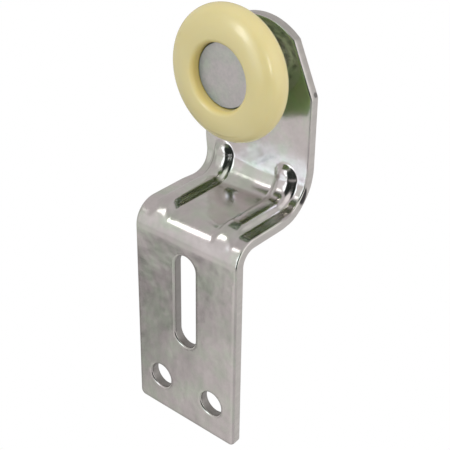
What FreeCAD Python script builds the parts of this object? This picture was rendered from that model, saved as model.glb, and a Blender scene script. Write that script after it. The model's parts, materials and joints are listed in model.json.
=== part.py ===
import FreeCAD, Part
import Sketcher
import os
from math import sin, cos, tan, radians, sqrt, atan2, pi, hypot, asin

# Sliding door roller: a twice-bent sheet steel bracket that carries a nylon
# tyre on a ball bearing, held by a rivet.
# Millimetres and degrees.  X runs across the bracket, Y from the hanging plate
# (front) to the axle plate (rear), Z up.  The origin is midway between the two
# screw holes, on the rear face of the hanging plate.

V = FreeCAD.Vector
doc = FreeCAD.newDocument("sliding_door_roller")

# ---------------------------------------------------------------- dimensions
# A name ending in _radius is a radius, also for bends.  Names ending in _back
# are Y positions in the bracket's frame, except rib_back_half.
DIMS = [
    # sheet: bend radii are on the inside, shelf_rise is an angle, and
    # plate_offset is the Y of the axle plate's rear face
    ("plate_width", 25.4), ("sheet_thick", 2.0),
    ("front_bend_radius", 3.0), ("rear_bend_radius", 4.8),
    ("shelf_rise", 2.5), ("plate_offset", 19.5),
    # hanging plate: hole_edge is from the hole centres down to the foot,
    # slot_height is the Z of the slot's middle
    ("hole_edge", 7.4), ("hole_spacing", 13.4), ("hole_diameter", 5.2),
    ("slot_width", 5.3), ("slot_length", 20.2), ("slot_height", 20.5),
    ("foot_corner", 1.2), ("rim_radius", 0.35),
    # Z of the shelf, and of the two ends of the free-form part of the strip
    ("shelf_height", 37.3), ("formed_low", 31.5), ("formed_high", 47.0),
    # axle plate: crown_corner is the X where the crown meets the shoulder,
    # crown_margin is how far the cutting outline reaches past the plate
    ("axle_height", 63.1), ("crown_height", 72.2), ("crown_radius", 12.4),
    ("crown_corner", 8.2), ("shoulder_height", 59.3), ("crown_margin", 6.0),
    # necking of the side edges round the point (waist_back, waist_height)
    ("waist_depth", 0.7), ("waist_reach", 6.5),
    ("waist_back", 16.2), ("waist_height", 39.3),
    # two pressed ribs at X = +-rib_centre; rib_back_half and rib_back_rise
    # belong to the hollow on the other side of the sheet
    ("rib_centre", 7.75), ("rib_half", 2.6), ("rib_rise", 1.2),
    ("rib_front_run", 4.5), ("rib_nose", 6.0), ("rib_top_run", 0.0),
    ("rib_back_half", 2.2), ("rib_back_rise", 0.9),
    # tyre: tyre_back is the Y of its middle, tyre_tread the radius of its
    # tread arc, tyre_crest the radius where the front face stands out most
    ("tyre_radius", 12.7), ("tyre_width", 6.5), ("tyre_back", 9.8),
    ("tyre_bore", 6.2), ("tyre_tread", 2.7), ("tyre_lip", 1.0),
    ("tyre_crest", 7.8), ("tyre_rear_lip", 0.4), ("race_seat", 6.8),
    # rivet: head_front is the Y of the head's front face
    ("head_radius", 6.05), ("head_thick", 1.35), ("head_front", 8.45),
    ("head_edge", 0.15), ("shank_radius", 2.5),
    ("tail_radius", 4.2), ("tail_height", 1.3), ("tail_flat", 2.6),
    # bearing: race_back is the Y of the ball plane
    ("race_back", 11.35), ("race_half", 1.3), ("race_shoulder", 5.5),
    ("cone_shoulder", 4.25), ("cone_half", 1.55),
    ("groove_radius", 1.28), ("pitch_radius", 4.9), ("ball_radius", 1.25),
    ("ball_count", 12), ("spacer_radius", 4.0), ("spacer_edge", 0.3),
]
sheet = doc.addObject("Spreadsheet::Sheet", "Sheet")
for row, (name, value) in enumerate(DIMS, start=1):
    sheet.set("A%d" % row, name)
    sheet.set("B%d" % row, "%g" % value)
    sheet.setAlias("B%d" % row, name)
doc.recompute()
# sizes of the free-form strip and starting values for the sketches
size = dict(DIMS)

thick = size["sheet_thick"]
half_width = size["plate_width"] / 2
face_y = size["plate_offset"] - thick           # front face of the axle plate
shank = size["shank_radius"]
groove, pitch = size["groove_radius"], size["pitch_radius"]
TOLERANCE = 1e-4                                # for picking edges by their boxes

# ------------------------------------------------------------ sketch helpers
START, END, CENTRE = 1, 2, 3                    # points of a sketch element
H_AXIS, V_AXIS = -1, -2
ORIGIN = (H_AXIS, START)


def origin_feature(body, role):
    for feature in body.Origin.OriginFeatures:
        if feature.Role == role:
            return feature
    raise RuntimeError("no " + role)


def new_body(name):
    body = doc.addObject("PartDesign::Body", name)
    body.Label = name
    return body


def new_sketch(body, name, plane):
    """XZ_Plane sketches have axes X and Z; YZ_Plane sketches have Y and Z."""
    sk = body.newObject("Sketcher::SketchObject", name)
    sk.AttachmentSupport = (origin_feature(body, plane), [""])
    sk.MapMode = "FlatFace"
    return sk


def polyline(sk, *points):
    """Separate lines from point to point; returns their numbers."""
    return [sk.addGeometry(Part.LineSegment(V(*a, 0), V(*b, 0)), False)
            for a, b in zip(points, points[1:])]


def line(sk, a, b):
    return polyline(sk, a, b)[0]


def circle(sk, centre, radius):
    return sk.addGeometry(Part.Circle(V(*centre, 0), V(0, 0, 1), radius), False)


def arc(sk, centre, radius, start, end):
    """Counter-clockwise arc between two angles in radians."""
    whole = Part.Circle(V(*centre, 0), V(0, 0, 1), radius)
    return sk.addGeometry(Part.ArcOfCircle(whole, start, end), False)


def constrain(sk, *args):
    return sk.addConstraint(Sketcher.Constraint(*args))


def level(sk, *edges):
    for edge in edges:
        constrain(sk, "Horizontal", edge)


def upright(sk, *edges):
    for edge in edges:
        constrain(sk, "Vertical", edge)


def on_vertical_axis(sk, edge, point):
    constrain(sk, "PointOnObject", edge, point, V_AXIS)


def join_loop(sk, edges, backward=(), smooth=0):
    """Close a loop of edges.  Those in backward run from END to START; the
    first few joints, as many as smooth says, are tangent."""
    for i, edge in enumerate(edges):
        following = edges[(i + 1) % len(edges)]
        constrain(sk, "Tangent" if i < smooth else "Coincident",
                  edge, START if edge in backward else END,
                  following, END if following in backward else START)


def dim(sk, name, expression, *args):
    index = constrain(sk, *args)
    sk.renameConstraint(index, name)
    sk.setExpression("Constraints." + name, expression)


def dim_radius(sk, name, expression, edge, value):
    dim(sk, name, expression, "Radius", edge, value)


def dim_across(sk, name, expression, edge, point, value):
    """First coordinate of a point, measured from the sketch origin."""
    dim(sk, name, expression, "DistanceX", *ORIGIN, edge, point, value)


def dim_up(sk, name, expression, edge, point, value):
    """Second coordinate of a point, measured from the sketch origin."""
    dim(sk, name, expression, "DistanceY", *ORIGIN, edge, point, value)


def require_solved(sk):
    left = sk.solve()
    if left != 0:
        raise RuntimeError("sketch %s does not solve: %s" % (sk.Name, left))


def edges_where(shape, test):
    return ["Edge%d" % number for number, edge in enumerate(shape.Edges, start=1)
            if test(edge)]


# -------------------------------------------------------------- formed strip
# One strip of sheet steel, bent twice.  "Run" is the length along its mid
# line, from formed_low on the hanging plate to formed_high on the axle plate.
NET_ACROSS = 84                                 # steps of the net across the strip
NET_STEP = 0.32                                 # least step along it

shelf_angle = radians(size["shelf_rise"])
bend_angle = pi / 2 - shelf_angle
tangent_ratio = tan(bend_angle / 2)
front_outer = size["front_bend_radius"] + thick
rear_inner = size["rear_bend_radius"]
front_mid = size["front_bend_radius"] + thick / 2
rear_mid = rear_inner + thick / 2
# (y, z) of the bend centres
front_centre = (-thick + front_outer, size["shelf_height"] - front_outer * tangent_ratio)
rear_centre = (face_y - rear_inner,
               size["shelf_height"] + size["plate_offset"] * tan(shelf_angle)
               + rear_inner * tangent_ratio)


def on_circle(centre, radius, angle):
    return (centre[0] + radius * cos(angle), centre[1] + radius * sin(angle))


shelf_in = on_circle(front_centre, front_mid, pi - bend_angle)
shelf_out = on_circle(rear_centre, rear_mid, -pi / 2 + shelf_angle)
# runs at which the strip changes shape
front_bend_start = front_centre[1] - size["formed_low"]
shelf_start = front_bend_start + bend_angle * front_mid
rear_bend_start = shelf_start + hypot(shelf_out[0] - shelf_in[0], shelf_out[1] - shelf_in[1])
rear_bend_end = rear_bend_start + bend_angle * rear_mid
strip_end = rear_bend_end + size["formed_high"] - rear_centre[1]
rib_start = shelf_start - size["rib_front_run"]
rib_end = rear_bend_end + size["rib_top_run"]


def middle(run):
    """(y, z) of the mid line and its normal towards the front or upper side."""
    if run <= front_bend_start:
        return (-thick / 2, size["formed_low"] + run), (-1.0, 0.0)
    if run <= shelf_start:
        angle = pi - (run - front_bend_start) / front_mid
        return on_circle(front_centre, front_mid, angle), (cos(angle), sin(angle))
    if run <= rear_bend_start:
        point = on_circle(shelf_in, run - shelf_start, shelf_angle)
        return point, (-sin(shelf_angle), cos(shelf_angle))
    if run <= rear_bend_end:
        angle = -pi / 2 + shelf_angle + (run - rear_bend_start) / rear_mid
        return on_circle(rear_centre, rear_mid, angle), (-cos(angle), -sin(angle))
    return (face_y + thick / 2, rear_centre[1] + run - rear_bend_end), (-1.0, 0.0)


def swell(x, run, rib_half, height):
    """Height of a rib above the plain sheet; its front end runs out gently."""
    nose = min(max((run - rib_start) / size["rib_nose"], 0.0), 1.0)
    height *= nose * nose * (3 - 2 * nose)
    best = 0.0
    for centre in (-size["rib_centre"], size["rib_centre"]):
        away = hypot(x - centre, run - min(run, rib_end)) / rib_half
        if away < 1:
            best = max(best, height * (1 - away ** 4) ** 2)
    return best


def half_width_at(y, z):
    away = hypot(y - size["waist_back"], z - size["waist_height"]) / size["waist_reach"]
    if away < 1:
        return half_width - size["waist_depth"] * (1 - away * away) ** 2
    return half_width


def strip_net(side, rib_half, rib_rise):
    """Net of points on one side of the sheet: side is 1 for upper, -1 for under."""
    steps = int(strip_end / NET_STEP)
    rows = []
    for i in range(steps + 1):
        run = strip_end * i / steps
        (y, z), (normal_y, normal_z) = middle(run)
        edge_x = half_width_at(y, z)
        points = []
        for j in range(NET_ACROSS + 1):
            x = edge_x * (2.0 * j / NET_ACROSS - 1)
            lift = side * thick / 2 + swell(x, run, rib_half, rib_rise)
            points.append(V(x, y + normal_y * lift, z + normal_z * lift))
        rows.append(points)
    return rows


def skin(rows):
    """Clamped uniform cubic surface with the net of points as its poles."""
    surface = Part.BSplineSurface()
    n, m = len(rows), len(rows[0])
    surface.buildFromPolesMultsKnots(
        rows,
        [4] + [1] * (n - 4) + [4], [4] + [1] * (m - 4) + [4],
        [float(i) for i in range(n - 2)], [float(i) for i in range(m - 2)],
        False, False, 3, 3)
    return surface


def face_through(*points):
    corners = [V(*p) for p in points]
    return Part.Face(Part.makePolygon(corners + corners[:1]))


def flat_plate(y_front, y_back, z_root, z_tip):
    """Five plane faces of a flat plate, open at its root."""
    left_front, right_front = (-half_width, y_front), (half_width, y_front)
    left_back, right_back = (-half_width, y_back), (half_width, y_back)
    walls = ((left_front, right_front), (left_back, right_back),
             (left_front, left_back), (right_front, right_back))
    faces = [face_through((*a, z_root), (*b, z_root), (*b, z_tip), (*a, z_tip))
             for a, b in walls]
    faces.append(face_through(*[(*corner, z_tip) for corner in
                                (left_front, right_front, right_back, left_back)]))
    return faces


def make_strip():
    """Closed solid: free-form skins between two flat plates."""
    upper = skin(strip_net(1, size["rib_half"], size["rib_rise"]))
    under = skin(strip_net(-1, size["rib_back_half"], size["rib_back_rise"]))
    faces = [upper.toShape(), under.toShape()]
    for side in upper.bounds()[2:]:
        faces.append(Part.makeRuledSurface(upper.vIso(side).toShape(),
                                           under.vIso(side).toShape()))
    faces += flat_plate(-thick, 0.0, size["formed_low"], -size["hole_edge"])
    faces += flat_plate(face_y, size["plate_offset"], size["formed_high"],
                        size["crown_height"])
    shell = Part.makeShell(faces)
    shell.sewShape()
    solid = Part.makeSolid(shell)
    if solid.Volume < 0:
        solid.reverse()
    if not (solid.isValid() and shell.isClosed()):
        raise RuntimeError("formed strip is not a closed solid")
    formed = doc.addObject("Part::Feature", "formed_strip")
    formed.Shape = solid
    doc.recompute()
    return formed


# ------------------------------------------------------------------- bracket
def require_cut(feature):
    if not feature.Shape.Volume < feature.BaseFeature.Shape.Volume - 1e-6:
        raise RuntimeError("%s removes nothing" % feature.Name)


def cut_through(body, sk, name):
    require_solved(sk)
    pocket = body.newObject("PartDesign::Pocket", name)
    pocket.Profile = sk
    pocket.Type = 1                             # through all
    pocket.Midplane = True
    doc.recompute()
    require_cut(pocket)
    return pocket


def cut_crown(body):
    """Outline of the axle plate: two sloping shoulders and a round crown."""
    shoulder, corner_x = size["shoulder_height"], size["crown_corner"]
    radius = size["crown_radius"]
    centre_z = size["crown_height"] - radius
    corner_z = centre_z + sqrt(radius * radius - corner_x * corner_x)
    out_x = half_width + size["crown_margin"]
    out_z = size["crown_height"] + size["crown_margin"]
    corner_angle = atan2(corner_z - centre_z, corner_x)

    sk = new_sketch(body, "crown_outline", "XZ_Plane")
    crown = arc(sk, (0, centre_z), radius, corner_angle, pi - corner_angle)
    lines = polyline(
        sk, (corner_x, corner_z), (half_width, shoulder), (out_x, shoulder), (out_x, out_z),
        (-out_x, out_z), (-out_x, shoulder), (-half_width, shoulder), (-corner_x, corner_z))
    _, right_step, right_wall, top, left_wall, left_step, _ = lines
    join_loop(sk, [crown] + lines, backward=(crown,))
    level(sk, right_step, left_step)
    upright(sk, right_wall, left_wall)
    on_vertical_axis(sk, crown, CENTRE)
    constrain(sk, "Symmetric", right_wall, END, top, END, V_AXIS)
    constrain(sk, "Symmetric", right_step, START, left_step, END, V_AXIS)
    dim_radius(sk, "radius", "Sheet.crown_radius", crown, radius)
    dim_up(sk, "centre", "Sheet.crown_height - Sheet.crown_radius", crown, CENTRE, centre_z)
    dim_across(sk, "corner_right", "Sheet.crown_corner", crown, START, corner_x)
    dim(sk, "corner_left", "Sheet.crown_corner", "DistanceX", crown, END, *ORIGIN, corner_x)
    dim(sk, "across", "Sheet.plate_width",
        "DistanceX", left_step, END, right_step, START, 2 * half_width)
    dim_up(sk, "shoulder", "Sheet.shoulder_height", right_step, START, shoulder)
    dim_across(sk, "out_x", "Sheet.plate_width / 2 + Sheet.crown_margin",
               right_wall, END, out_x)
    dim_up(sk, "out_z", "Sheet.crown_height + Sheet.crown_margin", right_wall, END, out_z)
    cut_through(body, sk, "crown_cut")


def cut_slot(body):
    """Height-adjustment slot."""
    radius = size["slot_width"] / 2
    half_length = size["slot_length"] / 2
    upper_z = size["slot_height"] + half_length - radius
    lower_z = size["slot_height"] - half_length + radius
    sk = new_sketch(body, "slot_outline", "XZ_Plane")
    upper = arc(sk, (0, upper_z), radius, 0, pi)
    left = line(sk, (-radius, upper_z), (-radius, lower_z))
    lower = arc(sk, (0, lower_z), radius, pi, 2 * pi)
    right = line(sk, (radius, lower_z), (radius, upper_z))
    join_loop(sk, [upper, left, lower, right], smooth=4)
    upright(sk, left)
    on_vertical_axis(sk, upper, CENTRE)
    dim_radius(sk, "width", "Sheet.slot_width / 2", upper, radius)
    dim_up(sk, "upper", "Sheet.slot_height + Sheet.slot_length / 2 - Sheet.slot_width / 2",
           upper, CENTRE, upper_z)
    dim_up(sk, "lower", "Sheet.slot_height - Sheet.slot_length / 2 + Sheet.slot_width / 2",
           lower, CENTRE, lower_z)
    cut_through(body, sk, "slot_cut")


def cut_screw_holes(body):
    """Two round holes in the hanging plate."""
    hole_x, radius = size["hole_spacing"] / 2, size["hole_diameter"] / 2
    sk = new_sketch(body, "screw_hole_centres", "XZ_Plane")
    right = circle(sk, (hole_x, 0), radius)
    left = circle(sk, (-hole_x, 0), radius)
    constrain(sk, "PointOnObject", right, CENTRE, H_AXIS)
    constrain(sk, "Symmetric", right, CENTRE, left, CENTRE, V_AXIS)
    constrain(sk, "Equal", right, left)
    dim(sk, "spacing", "Sheet.hole_spacing",
        "DistanceX", left, CENTRE, right, CENTRE, 2 * hole_x)
    dim_radius(sk, "radius", "Sheet.hole_diameter / 2", right, radius)
    require_solved(sk)
    doc.recompute()
    holes = body.newObject("PartDesign::Hole", "screw_holes")
    holes.Profile = sk
    holes.ThreadType = 0                        # plain
    holes.HoleCutType = 0                       # no countersink
    holes.DepthType = 1                         # through all
    holes.Reversed = True
    holes.setExpression("Diameter", "Sheet.hole_diameter")
    doc.recompute()
    require_cut(holes)


def cut_rivet_hole(body):
    sk = new_sketch(body, "rivet_hole_outline", "XZ_Plane")
    hole = circle(sk, (0, size["axle_height"]), shank)
    on_vertical_axis(sk, hole, CENTRE)
    dim_up(sk, "height", "Sheet.axle_height", hole, CENTRE, size["axle_height"])
    dim_radius(sk, "radius", "Sheet.shank_radius", hole, shank)
    return cut_through(body, sk, "rivet_hole_cut")


def is_foot_edge(edge):
    box = edge.BoundBox
    return (abs(box.ZMax + size["hole_edge"]) < TOLERANCE and box.XLength < TOLERANCE
            and abs(abs(box.XMin) - half_width) < TOLERANCE
            and abs(box.YLength - thick) < TOLERANCE)


def is_front_rim(edge):
    """Rim of the slot or a screw hole, on the front face and clear of its outline."""
    box = edge.BoundBox
    inside = (box.ZMin > -size["hole_edge"] + 1 and box.ZMax < size["formed_low"] - 0.2
              and box.XMax < half_width - 1 and box.XMin > -half_width + 1)
    return inside and abs(box.YMin + thick) < TOLERANCE and box.YLength < TOLERANCE


def fillet(body, base, name, edges, radius_expression):
    rounded = body.newObject("PartDesign::Fillet", name)
    rounded.Base = (base, edges)
    rounded.setExpression("Radius", radius_expression)
    doc.recompute()
    body.Tip = rounded
    doc.recompute()
    return rounded


def make_bracket():
    formed = make_strip()
    body = new_body("bracket")
    body.BaseFeature = formed
    doc.recompute()
    cut_crown(body)
    cut_slot(body)
    cut_screw_holes(body)
    last_cut = cut_rivet_hole(body)
    foot_edges = edges_where(last_cut.Shape, is_foot_edge)
    if len(foot_edges) != 2:
        raise RuntimeError("foot corners: %s" % foot_edges)
    foot = fillet(body, last_cut, "foot_corners", foot_edges, "Sheet.foot_corner")
    fillet(body, foot, "punched_rims", edges_where(foot.Shape, is_front_rim),
           "Sheet.rim_radius")
    return body


# -------------------------------------------------------------- turned parts
# Each is a half profile revolved about the wheel axis, which runs along Y.
# Sketch axes: first coordinate Y, second the radius.
def axis_body(name, y_expression):
    body = new_body(name)
    body.setExpression("Placement.Base.y", y_expression)
    body.setExpression("Placement.Base.z", "Sheet.axle_height")
    return body


def revolve(body, sk, name, axis="H_Axis"):
    require_solved(sk)
    turned = body.newObject("PartDesign::Revolution", name)
    turned.Profile = sk
    turned.ReferenceAxis = (sk, [axis])
    turned.Angle = 360
    doc.recompute()
    body.Tip = turned
    return turned


def make_tyre():
    """Round tread, bulging faces, and a bore that steps out to the race's seat."""
    body = axis_body("nylon_tyre", "Sheet.tyre_back")
    half, tread = size["tyre_width"] / 2, size["tyre_tread"]
    bore, seat = size["tyre_bore"], size["race_seat"]
    lip, rear_lip = size["tyre_lip"], size["tyre_rear_lip"]
    step_y = size["race_back"] - size["race_half"] - size["tyre_back"]
    lip_centre = bore + lip
    tread_centre = size["tyre_radius"] - tread
    rear_centre_r = seat + rear_lip
    crest = size["tyre_crest"]

    def bulge(crest_radius):
        """Radius of a face arc tangent to the tread arc, and the angle where they meet."""
        rise = tread_centre - crest_radius
        radius = (rise ** 2 + half * half - tread * tread) / (2 * (half - tread))
        return radius, atan2(rise, radius - half)

    front, front_angle = bulge(crest)
    back, back_angle = bulge(rear_centre_r)
    # the front face dips from its crest to the lip
    lip_angle = asin((crest - lip_centre) / (front - lip))
    lip_y = front - half - (front - lip) * cos(lip_angle)

    sk = new_sketch(body, "tyre_profile", "YZ_Plane")
    bore_line = line(sk, (step_y, bore), (lip_y, bore))
    lip_arc = arc(sk, (lip_y, lip_centre), lip, pi + lip_angle, 1.5 * pi)
    front_arc = arc(sk, (front - half, crest), front, pi - front_angle, pi + lip_angle)
    tread_arc = arc(sk, (0, tread_centre), tread, back_angle, pi - front_angle)
    back_arc = arc(sk, (half - back, rear_centre_r), back, 0, back_angle)
    rear_arc = arc(sk, (half - rear_lip, rear_centre_r), rear_lip, 1.5 * pi, 2 * pi)
    seat_line, step_line = polyline(
        sk, (half - rear_lip, seat), (step_y, seat), (step_y, bore))
    arcs = [lip_arc, front_arc, tread_arc, back_arc, rear_arc]
    join_loop(sk, [bore_line] + arcs + [seat_line, step_line], backward=arcs, smooth=6)
    level(sk, bore_line)
    upright(sk, step_line)
    on_vertical_axis(sk, tread_arc, CENTRE)
    dim_up(sk, "bore", "Sheet.tyre_bore", bore_line, START, bore)
    dim_up(sk, "seat", "Sheet.race_seat", seat_line, END, seat)
    dim_across(sk, "step", "Sheet.race_back - Sheet.race_half - Sheet.tyre_back",
               step_line, START, step_y)
    dim_radius(sk, "lip", "Sheet.tyre_lip", lip_arc, lip)
    dim_radius(sk, "rear_lip", "Sheet.tyre_rear_lip", rear_arc, rear_lip)
    dim_radius(sk, "tread", "Sheet.tyre_tread", tread_arc, tread)
    dim_up(sk, "tread_height", "Sheet.tyre_radius - Sheet.tyre_tread",
           tread_arc, CENTRE, tread_centre)
    dim_across(sk, "front",
               "((Sheet.tyre_radius - Sheet.tyre_tread - Sheet.tyre_crest) ^ 2"
               " + (Sheet.tyre_width / 2) ^ 2 - Sheet.tyre_tread ^ 2)"
               " / (Sheet.tyre_width - 2 * Sheet.tyre_tread) - Sheet.tyre_width / 2",
               front_arc, CENTRE, front - half)
    dim_across(sk, "back", "Sheet.tyre_width / 2", back_arc, START, half)
    dim_up(sk, "crest", "Sheet.tyre_crest", front_arc, CENTRE, crest)
    revolve(body, sk, "nylon_tyre_turned")
    return body


def make_outer_race():
    """Steel ring seated in the tyre, with a ball groove inside."""
    body = axis_body("bearing_outer_race", "Sheet.race_back")
    half, shoulder, seat = size["race_half"], size["race_shoulder"], size["race_seat"]
    groove_y = sqrt(groove * groove - (shoulder - pitch) ** 2)
    groove_angle = atan2(shoulder - pitch, groove_y)
    sk = new_sketch(body, "race_profile", "YZ_Plane")
    outer, rear, rear_shoulder = polyline(
        sk, (-half, seat), (half, seat), (half, shoulder), (groove_y, shoulder))
    groove_arc = arc(sk, (0, pitch), groove, groove_angle, pi - groove_angle)
    front_shoulder, front = polyline(
        sk, (-groove_y, shoulder), (-half, shoulder), (-half, seat))
    join_loop(sk, [outer, rear, rear_shoulder, groove_arc, front_shoulder, front])
    upright(sk, rear, front)
    level(sk, rear_shoulder, front_shoulder)
    constrain(sk, "Symmetric", outer, START, outer, END, V_AXIS)
    on_vertical_axis(sk, groove_arc, CENTRE)
    dim_up(sk, "outer", "Sheet.race_seat", outer, END, seat)
    dim_across(sk, "half_length", "Sheet.race_half", outer, END, half)
    dim_up(sk, "shoulder", "Sheet.race_shoulder", rear_shoulder, START, shoulder)
    dim_up(sk, "shoulder_front", "Sheet.race_shoulder", front_shoulder, END, shoulder)
    dim_radius(sk, "groove", "Sheet.groove_radius", groove_arc, groove)
    dim_up(sk, "pitch", "Sheet.pitch_radius", groove_arc, CENTRE, pitch)
    revolve(body, sk, "bearing_outer_race_turned")
    return body


def make_inner_race(name, side):
    """One of two mirrored cones meeting at the ball plane: side -1 front, 1 rear."""
    body = axis_body(name, "Sheet.race_back")
    shoulder, length = size["cone_shoulder"], size["cone_half"]
    far_y = side * length
    groove_y = side * sqrt(groove * groove - (pitch - shoulder) ** 2)
    groove_angle = atan2(shoulder - pitch, groove_y)
    sk = new_sketch(body, name + "_profile", "YZ_Plane")
    bore, end_face, rim = polyline(
        sk, (0, shank), (far_y, shank), (far_y, shoulder), (groove_y, shoulder))
    if side < 0:
        groove_arc = arc(sk, (0, pitch), groove, groove_angle + 2 * pi, 1.5 * pi)
    else:
        groove_arc = arc(sk, (0, pitch), groove, -pi / 2, groove_angle)
    inner_face = line(sk, (0, pitch - groove), (0, shank))
    join_loop(sk, [bore, end_face, rim, groove_arc, inner_face],
              backward=(groove_arc,) if side > 0 else ())
    level(sk, bore)
    upright(sk, end_face)
    level(sk, rim)
    on_vertical_axis(sk, groove_arc, CENTRE)
    on_vertical_axis(sk, inner_face, START)
    on_vertical_axis(sk, inner_face, END)
    dim_up(sk, "bore", "Sheet.shank_radius", bore, START, shank)
    if side < 0:
        dim(sk, "length", "Sheet.cone_half", "DistanceX", bore, END, *ORIGIN, length)
    else:
        dim_across(sk, "length", "Sheet.cone_half", bore, END, length)
    dim_up(sk, "shoulder", "Sheet.cone_shoulder", rim, START, shoulder)
    dim_radius(sk, "groove", "Sheet.groove_radius", groove_arc, groove)
    dim_up(sk, "pitch", "Sheet.pitch_radius", groove_arc, CENTRE, pitch)
    revolve(body, sk, name + "_turned")
    return body


def make_balls():
    """One ball turned about its own diameter, then patterned round the axle."""
    body = axis_body("bearing_balls", "Sheet.race_back")
    radius = size["ball_radius"]
    sk = new_sketch(body, "ball_profile", "YZ_Plane")
    outline = arc(sk, (0, pitch), radius, -pi / 2, pi / 2)
    diameter = line(sk, (0, pitch + radius), (0, pitch - radius))
    join_loop(sk, [outline, diameter])
    on_vertical_axis(sk, outline, CENTRE)
    upright(sk, diameter)
    constrain(sk, "PointOnObject", outline, CENTRE, diameter)
    dim_radius(sk, "radius", "Sheet.ball_radius", outline, radius)
    dim_up(sk, "pitch", "Sheet.pitch_radius", outline, CENTRE, pitch)
    one = revolve(body, sk, "one_ball", axis="Edge%d" % (diameter + 1))
    body.AllowCompound = True                   # the balls do not touch
    ring = body.newObject("PartDesign::PolarPattern", "ball_ring")
    ring.Originals = [one]
    ring.Axis = (origin_feature(body, "Y_Axis"), [""])
    ring.Angle = 360
    ring.setExpression("Occurrences", "Sheet.ball_count")
    body.Tip = ring
    doc.recompute()
    return body


def make_spacer():
    """Sleeve between the rear inner race and the axle plate."""
    body = axis_body("axle_spacer", "Sheet.race_back + Sheet.cone_half")
    outer_radius = size["spacer_radius"]
    length = face_y - size["race_back"] - size["cone_half"]
    sk = new_sketch(body, "spacer_profile", "YZ_Plane")
    bore, rear, outer, front = polyline(
        sk, (0, shank), (length, shank), (length, outer_radius), (0, outer_radius),
        (0, shank))
    join_loop(sk, [bore, rear, outer, front])
    level(sk, bore, outer)
    upright(sk, rear, front)
    on_vertical_axis(sk, front, END)
    dim_up(sk, "bore", "Sheet.shank_radius", bore, START, shank)
    dim_up(sk, "outer", "Sheet.spacer_radius", outer, END, outer_radius)
    dim_across(sk, "length",
               "Sheet.plate_offset - Sheet.sheet_thick - Sheet.race_back - Sheet.cone_half",
               bore, END, length)
    turned = revolve(body, sk, "axle_spacer_turned")

    def is_outer_rim(edge):
        box = edge.BoundBox
        return (abs(box.YLength) < TOLERANCE
                and abs(box.ZLength - 2 * outer_radius) < 1e-3)

    chamfer = body.newObject("PartDesign::Chamfer", "spacer_edges")
    chamfer.Base = (turned, edges_where(turned.Shape, is_outer_rim))
    chamfer.setExpression("Size", "Sheet.spacer_edge")
    doc.recompute()
    body.Tip = chamfer
    return body


def make_rivet():
    """Broad flat head, plain shank, and a domed tail behind the axle plate."""
    body = axis_body("axle_rivet", "Sheet.head_front")
    head, head_thick, edge = size["head_radius"], size["head_thick"], size["head_edge"]
    tail, tail_flat = size["tail_radius"], size["tail_flat"]
    tail_y = size["plate_offset"] - size["head_front"]
    end_y = tail_y + size["tail_height"]
    drop = tail - tail_flat
    dome = (size["tail_height"] ** 2 + drop * drop) / (2 * drop)
    dome_centre = tail - dome

    sk = new_sketch(body, "rivet_profile", "YZ_Plane")
    head_face = line(sk, (0, 0), (0, head - edge))
    edge_arc = arc(sk, (edge, head - edge), edge, pi / 2, pi)
    head_rim, head_back, shank_line, tail_face = polyline(
        sk, (edge, head), (head_thick, head), (head_thick, shank), (tail_y, shank),
        (tail_y, tail))
    dome_arc = arc(sk, (tail_y, dome_centre), dome,
                   atan2(tail_flat - dome_centre, size["tail_height"]), pi / 2)
    tail_end, axis = polyline(sk, (end_y, tail_flat), (end_y, 0), (0, 0))
    join_loop(sk, [head_face, edge_arc, head_rim, head_back, shank_line, tail_face,
                   dome_arc, tail_end, axis],
              backward=(edge_arc, dome_arc), smooth=2)
    constrain(sk, "Coincident", axis, END, *ORIGIN)
    upright(sk, head_face, head_back, tail_face, tail_end)
    level(sk, head_rim, shank_line, axis)
    constrain(sk, "PointOnObject", dome_arc, CENTRE, tail_face)
    dim_up(sk, "head", "Sheet.head_radius", head_rim, START, head)
    dim_radius(sk, "head_edge", "Sheet.head_edge", edge_arc, edge)
    dim_across(sk, "head_thick", "Sheet.head_thick", head_rim, END, head_thick)
    dim_up(sk, "shank", "Sheet.shank_radius", shank_line, START, shank)
    dim_across(sk, "grip", "Sheet.plate_offset - Sheet.head_front", shank_line, END, tail_y)
    dim_up(sk, "tail", "Sheet.tail_radius", tail_face, END, tail)
    dim_up(sk, "tail_flat", "Sheet.tail_flat", dome_arc, START, tail_flat)
    dim_across(sk, "tail_height",
               "Sheet.plate_offset - Sheet.head_front + Sheet.tail_height",
               tail_end, END, end_y)
    revolve(body, sk, "axle_rivet_turned")
    return body


# --------------------------------------------------------- build and export
# each body with the number of solids it must hold
pieces = [
    (make_bracket(), 1),
    (make_tyre(), 1),
    (make_outer_race(), 1),
    (make_inner_race("bearing_inner_race_front", -1), 1),
    (make_inner_race("bearing_inner_race_rear", 1), 1),
    (make_balls(), size["ball_count"]),
    (make_spacer(), 1),
    (make_rivet(), 1),
]
doc.recompute()
for thing in doc.Objects:
    if "Invalid" in thing.State or "Error" in thing.State:
        raise RuntimeError("%s: %s" % (thing.Name, thing.State))
os.makedirs("parts", exist_ok=True)
for body, count in pieces:
    shape = body.Shape
    if shape.isNull() or not shape.isValid() or len(shape.Solids) != count:
        raise RuntimeError("bad shape: %s" % body.Label)
    shape.exportStep("parts/%s.step" % body.Label)
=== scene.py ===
"""Hanger wheel: a nylon tyre on a ball bearing, riveted to a folded zinc-plated bracket.

Sizes are in mm (MM turns them into metres), +Z is up and the front is -Y. The bracket is
one strip as wide as x = -HALF..HALF. Its front plate has its rear face at y = 0, a shelf
rises gently to the rear, and the rear plate stands up to a round crown. The wheel turns
about an axle along Y, in front of the rear plate.
"""
import json
import bpy
import bmesh
import numpy as np
from math import sin, cos, tan, pi, radians, sqrt, hypot, atan2, asin
from mathutils import Matrix, Vector
from mathutils.geometry import delaunay_2d_cdt


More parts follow.
